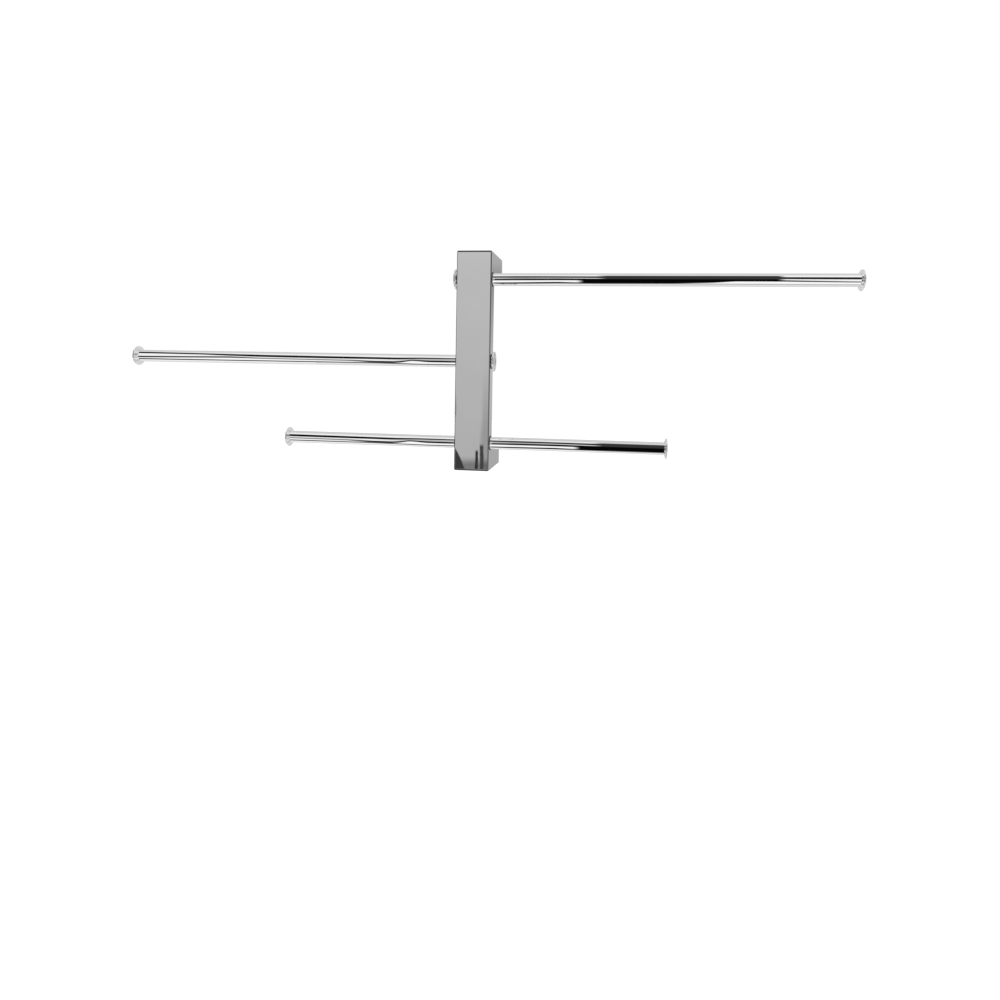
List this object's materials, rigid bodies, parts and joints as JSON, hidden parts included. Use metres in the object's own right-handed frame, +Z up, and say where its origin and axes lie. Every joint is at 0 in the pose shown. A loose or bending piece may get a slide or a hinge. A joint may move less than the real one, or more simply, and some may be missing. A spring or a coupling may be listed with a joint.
{
  "type": "sliding towel rack",
  "caption": "Wall-mounted chrome towel rack whose horizontal rails slide sideways through a bridge-shaped upright post.",
  "frame": {"origin": "on the wall plane, midway between the two wall screw holes", "axes": "+X along the rails to the right as seen from the room, +Y into the wall, +Z up"},
  "size_m": [0.7542, 0.0683, 0.225],
  "materials": {
    "chrome_casting": "bright chrome plate on a casting",
    "chrome_tube": "bright chrome plate on drawn tube",
    "chrome_cap": "bright chrome plate, turned",
    "cover_plastic": "moulded dark grey, satin",
    "plated_steel": "zinc plated",
    "screw_steel": "blackened",
    "bush_nylon": "black nylon",
    "ring_rubber": "black",
    "plug_brass": "turned"
  },
  "bodies": {
    "bridge": {"bridge_body": "chrome_casting", "rear_cover_upper": "cover_plastic", "rear_cover_lower": "cover_plastic", "wall_plate_upper": "plated_steel", "wall_plate_lower": "plated_steel", "grub_screw_upper": "screw_steel", "grub_screw_lower": "screw_steel", "guide_bush_top_left": "bush_nylon", "guide_bush_top_right": "bush_nylon", "friction_ring_top": "ring_rubber", "guide_bush_middle_left": "bush_nylon", "guide_bush_middle_right": "bush_nylon", "friction_ring_middle": "ring_rubber", "guide_bush_lower_left": "bush_nylon", "guide_bush_lower_right": "bush_nylon", "friction_ring_lower": "ring_rubber"},
    "top_rail": {"rail_tube_top": "chrome_tube", "cap_plug_top_left": "plug_brass", "end_cap_top_left": "chrome_cap", "cap_plug_top_right": "plug_brass", "end_cap_top_right": "chrome_cap"},
    "middle_rail": {"rail_tube_middle": "chrome_tube", "cap_plug_middle_left": "plug_brass", "end_cap_middle_left": "chrome_cap", "cap_plug_middle_right": "plug_brass", "end_cap_middle_right": "chrome_cap"},
    "lower_rail": {"rail_tube_lower": "chrome_tube", "cap_plug_lower_left": "plug_brass", "end_cap_lower_left": "chrome_cap", "cap_plug_lower_right": "plug_brass", "end_cap_lower_right": "chrome_cap"}
  },
  "joints": [
    {"name": "top_rail_slide", "type": "slide", "parent": "bridge", "child": "top_rail", "axis": [1, 0, 0], "range_m": [-0.3557, 0]},
    {"name": "middle_rail_slide", "type": "slide", "parent": "bridge", "child": "middle_rail", "axis": [1, 0, 0], "range_m": [0, 0.3557]},
    {"name": "lower_rail_slide", "type": "slide", "parent": "bridge", "child": "lower_rail", "axis": [1, 0, 0], "range_m": [-0.17585, 0.17985]}
  ]
}
